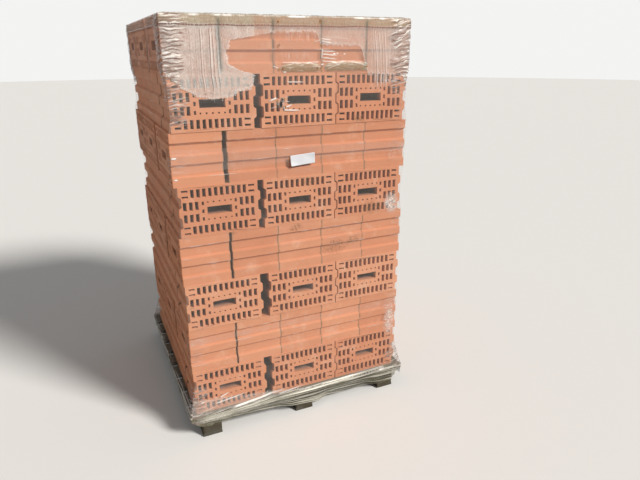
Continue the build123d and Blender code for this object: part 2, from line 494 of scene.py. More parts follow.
    # Crests of the wrinkles add a little painted highlight to the veil
    veil = veil + bright * (0.42 + 0.2 * hazy) + crest * 0.10 + lip * 0.18
    veil = veil + rope * (0.25 + slant_bright * 0.6) + dusty * (0.12 + crinkle * 0.55)
    veil = veil + dark * (0.16 + 0.22 * hazy) * (1.0 - hem) + hem * (0.40 + (cloud - 0.5) * 0.3)
    veil = veil + band * (0.18 + (speckle - 0.5) * 0.5)
    veil = veil + gathered * (0.42 + (folded - 0.5) * 0.9 + (crumbs - 0.5) * 0.6)
    veil = veil + rim * 0.45 + seam_shade * 0.30
    veil = veil.highest(
        pleat_shade * 0.78, lit_pleat * 0.80, stitch * 0.72, thin * 0.92, hole * 0.96, glint * 0.92,
        crease * 0.92, grime, edge * 0.32, tear * 0.97, level_dark * level * 0.55,
        finish.clear_haze * 0.3).clamped()

    # Painted highlights on the crease lines, top rim, dusty patches, glints, creases, land edges, pleats,
    # bulges and the milky lip
    lit = (bright * (0.85 - 0.45 * hem)).highest(
        rim, dusty * 0.6, glint, crease, edge, lit_pleat * 0.9,
        gathered * folded.step(0.55, 0.68) * 0.7, lip * 0.5)
    body = look.coats(
        look.blend(finish.milk, finish.dusty, (band * 0.85).highest(gathered)),
        # Film at the foot: its own dull olive, darkened as painted shade from under the deck
        (finish.hem, hem),
        # Painted shade in the creases, pleats and crinkles
        (finish.fold, (dark * (0.85 - 0.5 * hem)).highest(pleat_shade * 0.9, thin * 0.95)),
        # Painted shadow between the ropes at the foot and along the top layer's seams
        (finish.hem_shadow, (dark * hem * 0.9).highest(seam_shade * 0.75)),
        # Painted highlight on the ropes at the foot
        (finish.rope, rope * (0.5 + slant_bright * 1.4)),
        # Painted highlights in the glint colour
        (finish.glint, lit * (1.0 - thin * 0.9)),
        (finish.grime, grime.step(0.05, 0.3)),
        (finish.stitch, stitch),
        # Painted shade and painted lit clay where block corners pierce the film
        (look.blend(finish.hole, finish.pierced, fine.step(0.46, 0.56)), hole),
        # Painted shade seen through the tear
        (finish.tear_shadow, tear),
    )
    relief = levels * level + uprights * upright * 0.7 + slants * slant + folded * bulge
    relief = relief + look.noise(place, 30.0, 3.0) * 0.3 + speckle * hazy * 0.15
    return look.finish(
        Base_Color=body,
        Roughness=0.30,
        Alpha=veil,
        IOR=1.5,
        Specular_IOR_Level=0.5,
        Normal=look.bump(relief, 0.003, 0.8),
    )


def paper_look(finish):
    """Bare coated label paper, a little soiled."""
    look = material_look("label_paper")
    place = look.place()
    fibre = look.noise(place, 900.0, 3.0)
    soil = look.noise(place, 45.0, 4.0, 0.6).step(0.5, 0.8)
    body = look.blend(finish.paper, finish.darkened, soil * 0.5)
    return look.finish(Base_Color=body, Roughness=0.55, Normal=look.bump(fibre, 0.0002, 0.4))


# Random fields for the film and for the wear of the clay


def scatter(*places, seed):
    """A repeatable number from 0 to 1 for each whole-numbered place."""
    mixed = np.uint32(seed * 7919 + 17)
    for place, prime in zip(places, (73856093, 19349663, 83492791)):
        mixed = mixed ^ (place.astype(np.int64).astype(np.uint32) * np.uint32(prime))
        mixed = (mixed ^ (mixed >> np.uint32(13))) * np.uint32(1274126177)
    mixed = mixed ^ (mixed >> np.uint32(16))
    return mixed.astype(np.float64) / 4294967295.0


def ripple(x, y, seed):
    """Smooth random waves from 0 to 1 over a plane, about one wave to each unit."""
    x, y = np.broadcast_arrays(x, y)
    x0, y0 = np.floor(x), np.floor(y)
    fx, fy = x - x0, y - y0
    fx, fy = fx * fx * (3 - 2 * fx), fy * fy * (3 - 2 * fy)
    low = scatter(x0, y0, seed=seed) * (1 - fx) + scatter(x0 + 1, y0, seed=seed) * fx
    high = scatter(x0, y0 + 1, seed=seed) * (1 - fx) + scatter(x0 + 1, y0 + 1, seed=seed) * fx
    return low * (1 - fy) + high * fy


def ridge(x, y, seed):
    """Sharp random crests from 0 to 1 over a plane."""
    return 1 - np.abs(2 * ripple(x, y, seed) - 1)


def smooth(low, high, x):
    """0 below low, 1 above high and smooth between them."""
    t = np.clip((x - low) / (high - low), 0, 1)
    return t * t * (3 - 2 * t)


def between(x, start, full, fading, end):
    """1 in the middle of a range, and 0 before its start and past its end."""
    return smooth(start, full, x) * (1 - smooth(fading, end, x))


def bell(x, width):
    """1 at zero, falling off smoothly on both sides."""
    return np.exp(-(x / width) ** 2)


# Film


FILM_GAP = 0.0007          # between the taut film and what it lies on
FILM_SLOPE = 0.2           # how steeply it leaves a block that stands out
CORNER_RADIUS = 0.004
CORNER_STEPS = 4           # steps of the film's turn round a corner
CORNER_BAND = 0.13         # how far from a corner the mesh is fine
SHEET_GAP = 0.0008         # between one sheet and the sheet under it
SKID_HALF = 0.05           # half the width of a skid
# What the film's material is told at each vertex
FILM_NOTES = ("haze", "milk", "level", "ply", "upright", "slant", "fan", "crest", "hem", "seam_shade",
              "bulge", "dust", "rope")
# Soft upright streaks on the front: low and high place along X, low and high up, and strength
SOFT_STREAKS = ((-0.036, 0.105, 1.940, 1.998, 0.95), (-0.060, 0.075, 1.862, 1.905, 0.80),
                (-0.50, -0.33, 1.75, 2.0, 0.15), (-0.32, -0.13, 1.965, 2.0, 0.35),
                (0.37, 0.50, 1.80, 2.0, 0.25), (-0.60, -0.50, 1.965, 2.0, 0.25))


def face_reach(side, height):
    """How far out the taut film runs on one side at a height, over the blocks and the deck."""
    axis = 0 if SIDE_NORMALS[side][0] else 1
    outward = sum(SIDE_NORMALS[side])
    reach = np.zeros(height.shape)
    for low, high in LAYER_BOXES + [(DECK_LOW, DECK_HIGH)]:
        face = high[axis] if outward > 0 else -low[axis]
        away = np.maximum(np.maximum(low.z - height, height - high.z), 0)
        reach = np.maximum(reach, face - FILM_SLOPE * away)
    return np.where(height < DECK_LOW.z, DECK_HIGH.x, reach) + FILM_GAP


def side_joints(side, number):
    """Places and widths of the joints between the blocks of one layer, along a side."""
    axis = 1 if SIDE_NORMALS[side][0] else 0
    edges = block_spans(number)[axis]
    widths = edges[2:-1:2] - edges[1:-1:2]
    start = SIDE_STARTS[side][axis]
    return [(STACK_HALF - start * middle, width) for middle, width in zip(joint_middles(edges), widths)]


def column_places(fine, wide, bands):
    """Places of the columns along one side: closely spaced in the bands, wide apart elsewhere."""
    places = [0.0]
    while places[-1] < STACK_SIDE:
        close = any(low - fine <= places[-1] <= high for low, high in bands)
        places.append(places[-1] + (fine if close else wide))
    return np.array(places) * (STACK_SIDE / places[-1])


class Path:
    """The columns of a sleeve of film: where each runs round the stack."""

    def __init__(self, fine, wide, joints=None):
        side, along, turn = [], [], []
        for number in range(4):
            bands = [(0, CORNER_BAND), (STACK_SIDE - CORNER_BAND, STACK_SIDE)]
            if number == FRONT:
                bands += [(STACK_HALF + low, STACK_HALF + high) for low, high in PLEAT_BANDS]
            places = column_places(fine, wide, bands)
            for place in (joints or {}).get(number, []):
                places = np.sort(np.append(places[np.abs(places - place) > 0.4 * wide], place))
            facing = np.arctan2(*reversed(SIDE_NORMALS[number]))
            around = [facing + count / CORNER_STEPS * math.pi / 2 for count in range(1, CORNER_STEPS)]
            side += [number] * (len(places) + len(around))
            along += [*places, *[STACK_SIDE] * len(around)]
            turn += [*[facing] * len(places), *around]
        side.append(LEFT)
        along.append(STACK_SIDE)
        turn.append(math.pi * 1.5)
        self.side = np.array(side)
        self.along = np.array(along)
        turn = np.array(turn)
        self.normal = np.stack([np.cos(turn), np.sin(turn)])
        starts = np.array(SIDE_STARTS)[self.side].T
        normals = np.array(SIDE_NORMALS)[self.side].T
        forward = np.stack([-normals[1], normals[0]])
        self.base = starts + forward * self.along / STACK_HALF
        self.along_path = self.side * STACK_SIDE + self.along
        self.from_corner = np.minimum(self.along, STACK_SIDE - self.along)
        self.corner = np.where(self.along < STACK_HALF, self.side, self.side + 1) % 4


def sleeve(path, height, lift, gap):
    """Places of a sleeve round the stack, lifted outwards by the wrinkles."""
    reach = [face_reach(side, height) + gap for side in range(4)]
    middle = [(reach[RIGHT] - reach[LEFT]) / 2, (reach[BACK] - reach[FRONT]) / 2]
    half = [(reach[RIGHT] + reach[LEFT]) / 2, (reach[BACK] + reach[FRONT]) / 2]
    places = []
    for axis in (0, 1):
        core = path.base[axis] * (half[axis] - CORNER_RADIUS)
        places.append(middle[axis] + core + path.normal[axis] * (CORNER_RADIUS + lift))
    return places[0], places[1], height


def start_editing(piece):
    """Starts editing one piece, all of it selected."""
    bpy.ops.object.select_all(action="DESELECT")
    piece.select_set(True)
    bpy.context.view_layer.objects.active = piece
    bpy.ops.object.mode_set(mode="EDIT")
    bpy.ops.mesh.select_all(action="SELECT")


def sheet_mesh(name, places, attributes, turns=None):
    """A grid whose vertices are moved to a sheet's places and carry its attributes."""
    rows, columns = places[0].shape
    bpy.ops.object.select_all(action="DESELECT")
    bpy.ops.mesh.primitive_grid_add(x_subdivisions=columns - 1, y_subdivisions=rows - 1, size=1)
    piece = bpy.context.object
    piece.name = piece.data.name = name
    mesh = piece.data
    grid = read(mesh.vertices, "co", 3)
    column = np.rint((grid[:, 0] + 0.5) * (columns - 1)).astype(int)
    row = np.rint((grid[:, 1] + 0.5) * (rows - 1)).astype(int)
    moved = np.stack([axis[row, column] for axis in places], 1)
    mesh.vertices.foreach_set("co", moved.ravel())
    for key, values in attributes.items():
        layer = mesh.attributes.new(key, "FLOAT", "POINT")
        layer.data.foreach_set("value", values[row, column].astype(np.float32))
    if turns is not None:
        corners = read(mesh.loops, "vertex_index", kind=int)
        along, up = (values[row, column][corners] for values in turns)
        layer = mesh.uv_layers.new(name="turns")
        layer.data.foreach_set("uv", np.stack([along, up], 1).ravel().astype(np.float32))
    mesh.update()
    return piece


def close_sleeve(piece):
    """Joins the first and last column of a sleeve."""
    start_editing(piece)
    bpy.ops.mesh.remove_doubles(threshold=0.00001)
    bpy.ops.object.mode_set(mode="OBJECT")
    bpy.ops.object.shade_smooth()


# Edges of the doubled, milky film on the front, in metres: two lower edges and the hem as places
# along X with their heights, and one right edge as heights with their places along X
MILKY_FOOT = ((-0.60, 1.822), (-0.568, 1.788), (-0.538, 1.755), (-0.506, 1.738), (-0.469, 1.717),
              (-0.405, 1.706), (-0.316, 1.712), (-0.287, 1.737), (-0.223, 1.748), (-0.200, 1.800))
MILKY_SIDE = ((1.700, -0.200), (1.810, -0.205), (1.822, -0.262), (1.854, -0.321), (1.900, -0.326),
              (1.950, -0.305), (1.966, -0.210), (1.982, -0.120))
MILKY_STRIP = ((-0.60, 1.970), (-0.12, 1.982), (0.10, 1.985), (0.118, 1.930), (0.33, 1.925),
               (0.372, 1.800), (0.60, 1.785))
MILKY_HEM = ((-0.60, 0.215), (-0.45, 0.205), (-0.33, 0.185), (-0.12, 0.160), (0.05, 0.130))
# Sharp upright pleats on the front: place along X at the top and at the foot of each, and strength
PLEATS = ((-0.482, -0.486, 0.35), (-0.458, -0.461, 0.35), (-0.438, -0.440, 0.75),
          (-0.426, -0.432, 0.60), (-0.397, -0.401, 1.0), (-0.385, -0.384, 0.75),
          (-0.369, -0.368, 0.55), (0.385, 0.418, 0.55), (0.399, 0.433, 0.75),
          (0.419, 0.453, 0.70), (0.436, 0.467, 0.60), (0.452, 0.481, 0.75))
PLEAT_TOP, PLEAT_FOOT = 2.000, 1.720
# Parts of the front along X where the mesh is fine enough for the pleats
PLEAT_BANDS = ((-0.50, -0.35), (0.37, 0.49))
# Where block corners pierce the film on the front: along X, up from the floor, and size
PUNCTURES = ((-0.086, 2.027, 0.007), (-0.086, 1.929, 0.006), (-0.088, 1.827, 0.007), (-0.070, 1.828, 0.006),
             (0.117, 2.029, 0.008), (0.122, 1.930, 0.006), (0.122, 1.824, 0.008), (0.100, 1.826, 0.006),
             (0.364, 1.834, 0.006), (-0.102, 1.688, 0.007), (-0.066, 1.694, 0.007), (-0.064, 1.662, 0.006))
# Where the film of the front is torn open: along X, up and size
TEARS = ((-0.084, 1.673, 0.0115), (-0.079, 1.694, 0.0060))
# Small bright glints on the film of the front: along X, up and size
GLINTS = ((0.188, 1.892, 0.009), (0.205, 1.894, 0.008), (0.242, 1.891, 0.009), (-0.588, 1.462, 0.014),
          (-0.588, 1.366, 0.014), (-0.060, 1.815, 0.012), (0.128, 1.846, 0.010), (0.470, 0.128, 0.014))
# Creases of the front's film, lifted in the mesh and drawn as painted highlights: from one place along X
# and up, to another, width and strength
CREASES = (
    (0.122, 1.957, 0.190, 1.950, 0.0042, 0.9), (0.122, 1.948, 0.200, 1.934, 0.0045, 0.9),
    (0.126, 1.940, 0.170, 1.922, 0.0026, 0.6), (0.134, 1.964, 0.340, 1.953, 0.0026, 0.5),
    (0.124, 1.904, 0.215, 1.901, 0.0042, 0.8), (0.124, 1.891, 0.225, 1.883, 0.0045, 0.9),
    (0.124, 1.876, 0.220, 1.867, 0.0042, 0.8), (0.124, 1.861, 0.220, 1.853, 0.0042, 0.8),
    (0.118, 1.952, 0.075, 1.940, 0.0028, 0.6), (0.112, 1.858, 0.020, 1.852, 0.0036, 0.7),
    (-0.075, 1.855, 0.030, 1.857, 0.0036, 0.7), (0.118, 1.835, 0.060, 1.842, 0.0030, 0.6),
    (0.150, 1.826, 0.250, 1.860, 0.0034, 0.6), (0.362, 1.838, 0.260, 1.860, 0.0034, 0.6),
    (0.128, 1.915, 0.124, 1.855, 0.0050, 0.8), (-0.118, 1.842, -0.070, 1.825, 0.0036, 0.8),
    (-0.106, 1.703, -0.150, 1.688, 0.0055, 0.9), (-0.075, 1.656, -0.020, 1.674, 0.0055, 0.9),
    (-0.074, 1.648, 0.030, 1.643, 0.0055, 0.9), (-0.078, 1.690, -0.030, 1.682, 0.0030, 0.6),
    (-0.105, 1.664, -0.150, 1.655, 0.0028, 0.5), (-0.074, 1.698, -0.035, 1.712, 0.0028, 0.5),
    (-0.056, 1.772, 0.060, 1.769, 0.0050, 0.7), (-0.462, 0.206, -0.405, 0.226, 0.0055, 0.8),
    (-0.490, 0.180, -0.290, 0.199, 0.0055, 0.8), (-0.400, 0.136, -0.060, 0.168, 0.0085, 1.0),
    (-0.300, 0.141, -0.160, 0.158, 0.0060, 0.7), (-0.590, 0.146, -0.430, 0.172, 0.0050, 0.5),
    (-0.575, 0.172, -0.450, 0.190, 0.0045, 0.4), (-0.150, 0.142, 0.020, 0.158, 0.0060, 0.7),
)
# Gathered, dusty bulges of film over the lowest lands of the top layer: left and right end along X,
# foot and head
BULGES = ((-0.078, 0.120, 1.813, 1.856), (0.138, 0.370, 1.814, 1.860))
# Dusty or crumpled patches: along X, up, half their width and height, and strength
DUST = ((0.545, 1.135, 0.060, 0.075, 1.00), (0.560, 0.430, 0.052, 0.140, 0.80),
        (0.525, 1.395, 0.045, 0.045, 0.35), (0.505, 1.772, 0.075, 0.025, 0.50),
        (-0.088, 1.682, 0.050, 0.034, 0.42), (0.474, 0.132, 0.030, 0.022, 0.80))
# Yard dirt on the front: along X, up and size
GRIME = ((0.20, 0.935, 0.10), (0.31, 0.960, 0.06), (0.42, 1.125, 0.09), (-0.345, 1.085, 0.030),
         (-0.02, 1.070, 0.05), (-0.355, 1.560, 0.022), (0.05, 1.300, 0.05), (0.33, 1.590, 0.05))
# Lower edge of the film along the front: shares of the front, and the height at each
HEM_PLACES = (0, 0.010, 0.030, 0.045, 0.080, 0.092, 0.20, 0.34, 0.48, 0.57, 0.66, 0.80, 0.89, 0.95,
              0.975, 1)
HEM_HEIGHTS = (0.104, 0.090, 0.074, 0.064, 0.058, 0.070, 0.056, 0.046, 0.042, 0.028, 0.033, 0.034,
               0.035, 0.034, 0.088, 0.104)
# Where the folds on the foot of each side fan out from: how far before its left end, and how high
FAN_SETBACK, FAN_HEIGHT = 0.085, 0.104
# Heights where the sheets of film start and end and where their rows grow closer, and rows of each run
UPPER_FOOT, UPPER_KNEE, CALM_ROWS, ROUGH_ROWS, FOLD_ROWS = 1.385, 1.56, 22, 110, 17
MIDDLE_FOOT, MIDDLE_HEAD, MIDDLE_ROWS = 0.50, 1.47, 118
LOWER_KNEE, LOWER_HEAD, SKIRT_ROWS, LOWER_ROWS = 0.30, 0.585, 52, 32
# Film laid flat: its length once round the stack, and the heights that the three sheets cover
ROUND_STACK, UPPER_WIDTH, MIDDLE_WIDTH, LOWER_WIDTH = 4.86, 0.76, 0.97, 0.54


def outline_edge(points, at):
    return np.interp(at, [point[0] for point in points], [point[1] for point in points])


def front_milk(x, z):
    """Distance inside the milky part of the front, in metres, and how milky it is there."""
    patch = np.minimum(z - outline_edge(MILKY_FOOT, x), outline_edge(MILKY_SIDE, z) - x)
    strip = z - outline_edge(MILKY_STRIP, x)
    foot = outline_edge(MILKY_HEM, x) - z
    strength = np.where(x < -0.2, 1.0, np.where(x > 0.37, 0.62, 0.55))
    return np.maximum(np.maximum(patch, strip), foot), np.where(z < 0.5, 0.42, strength)


def wrinkles(path, height, film):
    """Lift of the film off its taut line, and what its material needs to know, row by column."""
    columns = (path.along, path.from_corner, path.side, path.corner, path.along_path)
    along, apart, side, corner, around = (np.broadcast_to(values, height.shape) for values in columns)
    x, z = along - STACK_HALF, height
    front = (side == FRONT) * 1.0
    left_corner = (side == FRONT) & (along < STACK_HALF)
    right_corner = (side == FRONT) & (along > STACK_HALF)
    none = np.zeros(height.shape)

    top = smooth(1.60, 1.84, z)
    low = 1 - smooth(0.20, 0.42, z)
    deep = smooth(1.57, 1.63, z) * left_corner
    patch = ripple(z / 0.16, corner * 5.3, 11)
    width = 0.06 + 0.07 * ripple(z / 0.05, corner * 3.1, 12) + 0.03 * top
    strength = np.maximum(0.95 * np.maximum(top, deep), 0.6 * low)
    strength = np.maximum(0.35 * smooth(0.42, 0.7, patch), strength)
    level = (1 - smooth(0.4 * width, width, apart)) * strength
    pitch = np.where(right_corner, 0.021, 0.0155)
    slope = np.where(side == LEFT, -0.35, np.where(along < STACK_HALF, 0.15, -0.15))
    slope = np.where(right_corner, -0.25, np.where(left_corner, 0.07, slope))
    ply = (z - slope * apart) / pitch
    ply = ply + 0.6 * ripple(apart / 0.04, z / 0.05, 13) + 0.3 * ripple(apart / 0.015, z / 0.02, 27)
    folds = ridge(ply, apart / 0.13 + corner * 9.7, 14)
    at_corner = np.where((corner == 1) & (z > 1.5), 1.25, 0.35)
    stands_out = at_corner + (1 - np.minimum(at_corner, 1)) * smooth(0, 0.02, apart)
    lift = film.crinkle_height * level * folds ** 1.5 * stands_out * smooth(0.0, 0.012, STACK_TOP - z)

    sag = ripple(around / 0.11, z / 0.13, 15) - 0.4
    lift = lift + 0.0012 * np.clip(sag, 0, 1) * smooth(0, 0.05, apart)

    upright = 0.8 * top * smooth(0.50, 0.75, ripple(around / 0.12, z / 0.5, 16)) * (front < 1)
    upright = upright * smooth(0.05, 0.11, apart) * np.where(side == LEFT, 0.25, 1.0)
    for low_x, high_x, low_z, high_z, strength in SOFT_STREAKS:
        inside = between(x, low_x - 0.03, low_x + 0.01, high_x - 0.01, high_x + 0.03)
        inside = inside * between(z, low_z - 0.01, low_z + 0.02, high_z - 0.02, high_z)
        upright = np.maximum(upright, strength * inside * front)
    for head, foot, strength in PLEATS:
        share = np.clip((PLEAT_TOP - z) / (PLEAT_TOP - PLEAT_FOOT), 0, 1)
        away = x - head - (foot - head) * share
        reach = between(z, PLEAT_FOOT - 0.01, PLEAT_FOOT + 0.04, 1.99, 2.03) * front * strength
        lift = lift + 0.0025 * bell(away + 0.0045, 0.0045) * reach

    fan_x, fan_z = along + FAN_SETBACK, z - FAN_HEIGHT
    tilt, ray = np.arctan2(fan_z, fan_x), np.hypot(fan_x, fan_z)
    open_to = np.radians(2.4 + 15 * np.exp(-ray / 0.25)) * (0.85 + 0.3 * ripple(ray / 0.12, side * 4.0, 20))
    open_to = open_to * np.where(front > 0, 1.0, 1.6)
    slant = between(tilt, -0.125, -0.10, 0.75 * open_to, 1.12 * open_to) * smooth(0.0, 0.04, along)
    wave = ridge(tilt / 0.017 + 0.6 * ripple(ray / 0.2, tilt / 0.1, 17), ray / 0.42 + side * 6.1, 18)
    lift = lift + film.fan_height * slant * wave ** 1.5 * smooth(0.05, 0.3, ray)
    for x0, z0, x1, z1, _, strength in CREASES:
        run, rise = x1 - x0, z1 - z0
        size = math.hypot(run, rise)
        share = ((x - x0) * run + (z - z0) * rise) / size ** 2
        off = ((x - x0) * rise - (z - z0) * run) / size
        lift = lift + 0.0026 * strength * bell(off, 0.006) * between(share, -0.03, 0.10, 0.35, 1.0) * front

    seam_shade = pillow = none
    for number in range(len(LAYERS)):
        over = z - (DECK_HIGH.z + number * LAYER_PITCH)
        inside = smooth(0, 0.03, over) * (1 - smooth(-0.03, 0, over - LAYER_PITCH))
        for face in range(4):
            here = (side == face) * inside
            puff = 1.0
            for place, joint in side_joints(face, number):
                away = np.abs(along - place)
                puff = puff * (1 - bell(away, 0.016 + 0.4 * joint))
                lift = lift - here * bell(away, 0.006 + 0.36 * joint) * min(0.12 * joint, 0.004)
                # Seam shade: painted shade along the joints of the top layer, where the film dips into them
                if number == len(LAYERS) - 1:
                    seam_shade = np.maximum(seam_shade, here * bell(away, 0.0045 + 0.16 * joint))
            pillow = pillow + here * puff * smooth(0, 0.04, apart)
    lift = lift + pillow * (0.0006 + 0.0024 * smooth(1.78, 1.86, z))

    haze = z - 1.73 - 0.11 * (ripple(around / 0.13, 0.0, 21) - 0.5)
    haze = haze - 0.05 * (ripple(around / 0.03, 0.0, 22) - 0.5)
    gap = 0.5 * (ripple(around / 0.16, z / 0.12, 23) - 0.66)
    haze = np.where(gap > 0, np.minimum(haze, -gap), haze)
    milk = 0.55 + 0.45 * ripple(around / 0.25, z / 0.3, 24)
    front_haze, front_strength = front_milk(x, z)
    milk = np.where(front > 0, front_strength, milk)
    # Painted shade: the left side gets no milky haze
    haze = np.where(side == LEFT, -1.0, np.where(front > 0, front_haze, haze))
    dust = none
    for at_x, at_z, wide, tall, strength in DUST:
        inside = 1 - np.hypot((x - at_x) / wide, (z - at_z) / tall)
        dust = np.maximum(dust, np.clip(inside * 1.6, 0, 1) * strength * front)

    hem = (1 - smooth(0.118, 0.146, z - 0.012 * slant)) * (z < 0.5)
    rope_height = FAN_HEIGHT + 0.004 + 0.026 * smooth(0.05, 0.9, along / STACK_SIDE)
    rope = bell(z - rope_height, 0.013) * smooth(0.0, 0.10, along)
    rope = rope * (0.6 + 0.4 * ripple(around / 0.2, z / 0.02, 26)) * (1 - 0.8 * smooth(0.80, 1.0, along))
    bulge = none
    for left, right, foot, head in BULGES:
        share = np.clip((x - left) / (right - left), 0, 1)
        crown = 0.70 + 0.30 * np.sin(math.pi * share) ** 0.7
        rise = np.clip((z - foot) / (head - foot) / crown, 0, 1)
        inside = between(share, 0, 0.06, 0.94, 1) * np.sin(math.pi * rise) ** 0.5 * front
        bulge = np.maximum(bulge, inside)
        lift = lift + 0.0045 * inside

    crest = np.clip((lift - 0.0015) / 0.005, 0, 1)
    notes = (np.clip(haze, -0.1, 0.3), milk, np.maximum(level, 0.5 * dust), ply, upright, slant,
             tilt + side * 1.7, crest, hem, seam_shade, bulge, dust, rope)
    return lift, dict(zip(FILM_NOTES, notes))


def hem_height(path):
    """Lower edge of the film: it hangs unevenly below the deck."""
    front = np.interp(path.along / STACK_SIDE, HEM_PLACES, HEM_HEIGHTS)
    other = 0.066 + 0.03 * (ripple(path.along_path / 0.33, 0.0, 31) - 0.5)
    clear = smooth(0.0, 0.12, path.from_corner)
    other = other * clear + (1 - clear) * np.where(path.corner == 0, 0.098, 0.066)
    edge = np.where(path.side == FRONT, front, other)
    return edge + 0.006 * (ripple(path.along_path / 0.045, 0.0, 32) - 0.5)


def tuck_under(path, height):
    """How far the film pulls in below the deck, between the skids that hold it out."""
    across = np.abs(path.base[0] * STACK_HALF)
    outer_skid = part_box("pallet_blocks")[1].x - SKID_HALF
    to_skid = np.minimum(across, np.abs(across - outer_skid)) - SKID_HALF
    free = smooth(0.0, 0.08, path.from_corner)
    free = np.where(np.isin(path.side, (FRONT, BACK)), smooth(0.01, 0.10, to_skid), free)
    depth = np.clip(DECK_LOW.z - 0.004 - height, 0, 0.08)
    return free * (0.30 * depth + 0.004 * smooth(0, 0.01, depth))


def top_fold(path, rows, film):
    """The film folded in over the top edges, gathered towards its ragged inner edge."""
    share = np.linspace(0, 1, rows)[:, None]
    ragged = 0.075 + 0.035 * ripple(path.along_path / 0.14, 0.0, 41)
    ragged = ragged + 0.018 * (ripple(path.along_path / 0.03, 0.0, 42) - 0.5)
    drift = 0.4 * ripple(path.along_path / 0.2, share * 2.0, 43)
    gather = ridge(path.along_path / 0.034 + drift, share * 2.2, 44)
    rise = FILM_GAP + film.fold_height * gather ** 1.5 * smooth(0.0, 0.35, share) * (0.5 + 0.5 * share)
    return share * ragged, rise


def level_rows(foot, head, count):
    """Heights of evenly spaced rows of a sheet."""
    return foot + (head - foot) * np.linspace(0, 1, count)[:, None]


class FilmSheet(bpy.types.PropertyGroup):
    crinkle_height: measure("Crinkle height", "Height of the level crinkles at the corners", 0.0050)
    fan_height: measure("Fan height", "Height of the folds that fan out over the lowest layer", 0.0065)
    fold_height: measure("Top fold height", "Height of the gathers folded in over the top", 0.009)
    fine_step: measure("Fine step", "Mesh size where the film is crumpled", 0.0046)
    calm_step: measure("Calm step", "Mesh size at the corners of the middle turns", 0.0075)
    wide_step: measure("Wide step", "Mesh size where the film is smooth", 0.012)
    stitch_height: measure("Stitch height", "Height of the folded edge of the top turn", 2.009)
    clear_haze: amount("Clear haze", "How much the smooth film veils", 0.075)
    milk: tint("Milk", "Colour of doubled film", (0.78, 0.72, 0.66))
    glint: tint("Glint", "Colour of lit creases", (0.93, 0.88, 0.82))
    # Painted shade colour in the creases, pleats and crinkles
    fold: tint("Fold", "Colour in the creases", (0.23, 0.135, 0.11))
    grime: tint("Grime", "Colour of the yard dirt on it", (0.20, 0.15, 0.09))
    top_haze: amount("Top haze", "What the extra turns over the top layers add to it", 0.06)
    # Painted shadow colour along the folded edge of the top turn
    stitch: tint("Stitch", "Colour of the folded edge of the top turn", (0.17, 0.10, 0.075))
    dusty: tint("Dusty", "Colour of gathered, dusty film", (0.42, 0.345, 0.225))
    # The film's own dull olive at the foot, darkened as painted shade from under the deck
    hem: tint("Hem", "Colour of the ropes of film at the foot", (0.19, 0.185, 0.12))
    # Painted highlight colour of the ropes
    rope: tint("Rope", "Colour of the lit ropes at the foot", (0.92, 0.88, 0.74))
    # Painted shadow colour between the ropes and along the seams
    hem_shadow: tint("Hem fold", "Colour between those ropes", (0.07, 0.065, 0.045))
    # Painted shade colour where a block corner shows through; the lit part of that corner is painted too
    hole: tint("Hole", "Colour where a block corner shows through", (0.07, 0.03, 0.015))
    # Painted shade colour seen through the tear
    tear_shadow: tint("Torn", "Colour seen through the tear", (0.012, 0.008, 0.006))
    pierced: tint("Pierced", "Colour of that corner where the light reaches it", (0.62, 0.27, 0.07))


